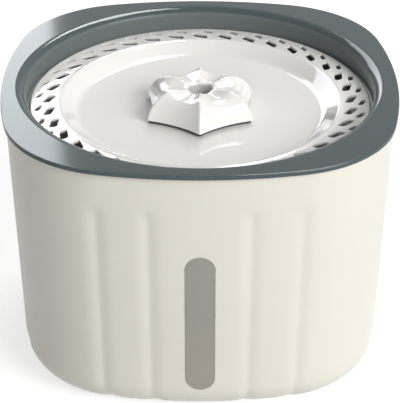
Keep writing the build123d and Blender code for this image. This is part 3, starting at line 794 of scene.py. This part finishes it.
flower = {
    "petals": 6,
    "columns": 60,
    "base": 125.6,
    "ridgeSoftness": radians(2.6),
    "ridgeWeights": [1, 2, 3, 4, 4, 4, 3, 2, 1],
    # (radius, height above base) in mm, from the petals' edge up to the mouth
    "ridge": [
        (31.1, 0.1), (30.8, 1.2), (29.9, 4.3), (27.9, 7.3), (25.2, 9.9), (21.6, 12.0), (18.2, 13.1),
        (16.2, 13.3), (14.0, 13.1), (11.0, 12.5), (8.6, 12.0), (7.2, 11.6), (6.6, 11.1), (6.3, 10.5),
    ],
    "valley": [
        (24.7, 0.0), (24.4, 1.2), (23.6, 4.1), (22.3, 6.6), (20.7, 8.7), (18.7, 10.1), (16.6, 10.6),
        (14.6, 10.5), (12.6, 10.5), (10.4, 10.6), (8.6, 10.7), (7.3, 10.7), (6.7, 10.4), (6.35, 9.9),
    ],
    # (radius, height) in mm: the pin that sits in the tray's socket and the hollow round it
    "underside": [
        (4.4, 116.3), (6.0, 116.3), (6.0, 124.8), (9.0, 125.0), (9.0, 132.8), (14.0, 132.8), (19.0, 125.8),
        (19.0, 125.2), (21.0, 125.2), (21.0, 126.4),
    ],
    # (share of the petals' edge, height in mm): a sheet hanging under the petals, its lower part painted dark
    # as painted shadow
    "skirt": [(0.94, 126.4), (0.94, 124.3), (0.97, 124.3), (0.97, 125.45)],
    # (radius, height) in mm, from the mouth down
    "bore": [(6.15, 135.0), (6.05, 134.0), (6.0, 129.3), (4.6, 129.1), (4.4, 128.9)],
    # painted shadow: a dark sheet and dark paint under the petals' edge; painted shade: a grey bore
    "look": {
        **whiteGloss,
        "fades": [
            # painted shadow: everything below the petals' edge turns near-black
            {"along": "Z", "start": 125.55, "end": 125.5, "colour": (0.05, 0.05, 0.048), "rough": 0.6},
            # painted shade: the bore's inside turns grey
            {"along": "radius", "start": 6.3, "end": 6.12, "colour": (0.58, 0.57, 0.55), "rough": 0.4},
        ],
    },
}


def petalPoint(angle, number):
    # a ridge over each petal's tip and a scooped valley between two of them, both still sharp
    step = 2 * pi / flower["petals"]
    (ridgeOut, ridgeUp), (valleyOut, valleyUp) = flower["ridge"][number], flower["valley"][number]
    sector = (angle - step / 2) / step
    whole = int(sector // 1)
    share = sector - whole
    start = step / 2 + whole * step
    left, right = polar(ridgeOut, start, ridgeUp), polar(ridgeOut, start + step, ridgeUp)
    valley = polar(valleyOut, start + step / 2, valleyUp)
    point = left.lerp(right, share) + 4 * share * (1 - share) * (valley - (left + right) / 2)
    return Vector((point.x, point.y, point.z + flower["base"])) * mm


def softPetalPoint(angle, number):
    # the mean of a few points on both sides of an angle rounds the ridges
    weights = flower["ridgeWeights"]
    half = len(weights) // 2
    total = Vector()
    for part, weight in enumerate(weights):
        total += weight * petalPoint(angle + flower["ridgeSoftness"] * (part - half) / half, number)
    return total / sum(weights)


def placeFlower(angle, station):
    kind, value = station
    if kind == "petal":
        return softPetalPoint(angle, value)
    if kind == "round":
        return polar(value[0] * mm, angle, value[1] * mm)
    share, height = value
    edge = softPetalPoint(angle, 0)
    return Vector((edge.x * share, edge.y * share, height * mm))


def makeFlower():
    stations = [("round", point) for point in flower["underside"]]
    stations += [("skirt", point) for point in flower["skirt"]]
    stations += [("petal", number) for number in range(len(flower["ridge"]))]
    stations += [("round", point) for point in flower["bore"]]
    bm = growRings(flower["petals"] * flower["columns"], stations, placeFlower)
    petalWhite = mouldedPlastic("whitePetalPlastic", flower["look"])
    finishPiece(bm, "flowerSpout", "flower", ["flower_spout"], petalWhite, sharpAngle=40)


makeFlower()
print("flower spout ready")

# finishes of the CAD nodes that stay


def buildGranules():
    # packed grains or pores: a height, a colour that changes from grain to grain, and painted shade that
    # darkens the gaps between grains
    group, given, out = newGroup(
        "granules",
        {
            "Scale": (floatSocket, 900.0),
            "Dark": (colourSocket, (0.02, 0.02, 0.02, 1)),
            "Light": (colourSocket, (0.2, 0.2, 0.2, 1)),
            "Gap": (floatSocket, 0.6),
        },
        {"Colour": colourSocket, "Height": floatSocket},
    )
    link = group.links.new
    place = group.nodes.new("ShaderNodeTexCoord")
    cells = group.nodes.new("ShaderNodeTexVoronoi")
    link(place.outputs["Object"], cells.inputs["Vector"])
    link(given.outputs["Scale"], cells.inputs["Scale"])
    dome = addNode(group, "ShaderNodeMapRange", interpolation_type="SMOOTHSTEP", From_Min=0.75, From_Max=0.1)
    link(cells.outputs["Distance"], dome.inputs["Value"])
    each = group.nodes.new("ShaderNodeSeparateColor")
    link(cells.outputs["Color"], each.inputs[0])
    tone = blend(group, each.outputs[0], given.outputs["Dark"], given.outputs["Light"])
    # painted shade: the gaps between grains are mixed towards Dark
    depth = calc(group, "SUBTRACT", 1.0, dome.outputs["Result"], use_clamp=True)
    shade = calc(group, "MULTIPLY", depth, given.outputs["Gap"])
    link(blend(group, shade, tone, given.outputs["Dark"]), out.inputs["Colour"])
    link(dome.outputs["Result"], out.inputs["Height"])
    return group


def buildBands():
    # fine parallel lines across the Y axis, such as windings or stacked sheets, each a little different
    group, given, out = newGroup(
        "bands",
        {
            "Pitch": (floatSocket, 0.0005),
            "Colour": (colourSocket, (0.5, 0.5, 0.5, 1)),
            "Change": (floatSocket, 0.1),
        },
        {"Colour": colourSocket, "Height": floatSocket},
    )
    count = calc(group, "DIVIDE", measure(group, "Y"), given.outputs["Pitch"])
    chance = addNode(group, "ShaderNodeTexWhiteNoise", noise_dimensions="1D")
    group.links.new(calc(group, "FLOOR", count), chance.inputs["W"])
    darkest = 0.95
    tone = calc(group, "MULTIPLY_ADD", chance.outputs["Value"], given.outputs["Change"], darkest)
    group.links.new(tinted(group, given.outputs["Colour"], tone), out.inputs["Colour"])
    group.links.new(calc(group, "PINGPONG", count, 0.5), out.inputs["Height"])
    return group


granules, bands = buildGranules(), buildBands()


def grainFinish(name, look):
    # grains, beads, foam or fleece; depth in mm
    material, tree, shader = newMaterial(name, Roughness=look["rough"], Sheen_Weight=look.get("sheen", 0.0))
    grains = addNode(
        tree,
        "ShaderNodeGroup",
        node_tree=granules,
        Scale=look["scale"],
        Dark=(*look["dark"], 1),
        Light=(*look["light"], 1),
        Gap=look["gapShade"],
    )
    tree.links.new(grains.outputs["Colour"], shader.inputs["Base Color"])
    roughen(tree, shader, grains.outputs["Height"], strength=0.8, distance=look["depth"] * mm)
    return material


def bandFinish(name, look):
    # wound wire, stacked sheets or a ground shaft; pitch in mm, relief as a share of it
    material, tree, shader = newMaterial(name, Roughness=look["rough"], Metallic=1.0)
    lines = addNode(
        tree,
        "ShaderNodeGroup",
        node_tree=bands,
        Pitch=look["pitch"] * mm,
        Colour=(*look["colour"], 1),
        Change=look["change"],
    )
    tree.links.new(lines.outputs["Colour"], shader.inputs["Base Color"])
    roughen(tree, shader, lines.outputs["Height"], strength=0.6, distance=look["pitch"] * mm * look["relief"])
    return material


cartridgeShell = {"colour": (0.78, 0.78, 0.75), "rough": 0.42}
pumpCase = {"colour": (0.028, 0.028, 0.03), "rough": 0.4, "grain": 0.05, "grainScale": 1100.0}
shaftBush = {"colour": (0.03, 0.03, 0.03), "rough": 0.66, "specular": 0.3}
plasticLooks = {
    "rubber_feet": {
        "colour": (0.045, 0.045, 0.044), "rough": 0.78, "grain": 0.06, "grainScale": 900.0, "specular": 0.3,
    },
    "cable_grommet": {"colour": (0.3, 0.3, 0.29), "rough": 0.5, "grain": 0.02, "specular": 0.35},
    "filter_basket": {"colour": (0.62, 0.64, 0.65), "rough": 0.38},
    "cartridge_pan": cartridgeShell,
    "cartridge_lid": cartridgeShell,
    "pump_housing": pumpCase,
    "volute_cover": pumpCase,
    "strainer_cage": {**pumpCase, "colour": (0.03, 0.03, 0.032), "rough": 0.44},
    "potting": {"colour": (0.012, 0.012, 0.013), "rough": 0.12, "grain": 0.01, "cloud": 0.2},
    "cable_gland": {"colour": (0.03, 0.03, 0.03), "rough": 0.7, "grain": 0.04, "specular": 0.3},
    "rear_bush": shaftBush,
    "front_bush": shaftBush,
    "impeller": {"colour": (0.72, 0.72, 0.7), "rough": 0.36, "grain": 0.02},
    "rotor_magnet": {
        "colour": (0.06, 0.056, 0.052), "rough": 0.48, "grain": 0.08, "grainScale": 2200.0, "cloud": 0.25,
    },
    "flow_dial": {"colour": (0.26, 0.27, 0.28), "rough": 0.4},
    "riser_tube": {"colour": (0.74, 0.76, 0.75), "rough": 0.3, "grain": 0.01, "glow": 0.15, "specular": 0.35},
    "suction_cups": {"colour": (0.05, 0.05, 0.052), "rough": 0.42, "grain": 0.02, "specular": 0.4},
}
# gapShade sets how strongly painted shade darkens the gaps between grains
grainLooks = {
    "cotton_layer": {
        "scale": 2600.0, "dark": (0.6, 0.6, 0.57), "light": (0.86, 0.86, 0.83), "rough": 0.95,
        "depth": 0.25, "gapShade": 0.3, "sheen": 0.5,
    },
    "resin_bed": {
        "scale": 1250.0, "dark": (0.24, 0.1, 0.02), "light": (0.74, 0.42, 0.12), "rough": 0.25,
        "depth": 0.5, "gapShade": 0.7,
    },
    "carbon_bed": {
        "scale": 800.0, "dark": (0.008, 0.008, 0.008), "light": (0.05, 0.05, 0.05), "rough": 0.5,
        "depth": 0.6, "gapShade": 0.8,
    },
    "intake_sponge": {
        "scale": 1000.0, "dark": (0.05, 0.05, 0.052), "light": (0.025, 0.025, 0.026), "rough": 0.95,
        "depth": -0.5, "gapShade": 0.0,
    },
}
bandLooks = {
    "stator_core": {
        "colour": (0.42, 0.42, 0.43), "rough": 0.38, "pitch": 0.5, "change": 0.12, "relief": 0.15,
    },
    "stator_coil": {
        "colour": (0.62, 0.25, 0.1), "rough": 0.26, "pitch": 0.28, "change": 0.15, "relief": 0.5,
    },
    "impeller_shaft": {
        "colour": (0.6, 0.6, 0.61), "rough": 0.22, "pitch": 0.06, "change": 0.06, "relief": 0.05,
    },
}
for name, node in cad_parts.items():
    if node.hide_render:
        continue
    if name in grainLooks:
        material = grainFinish(name + "Finish", grainLooks[name])
    elif name in bandLooks:
        material = bandFinish(name + "Finish", bandLooks[name])
    else:
        material = mouldedPlastic(name + "Finish", plasticLooks[name])
    for slotNumber in range(len(node.data.materials)):
        node.data.materials[slotNumber] = material
print("CAD nodes dressed")
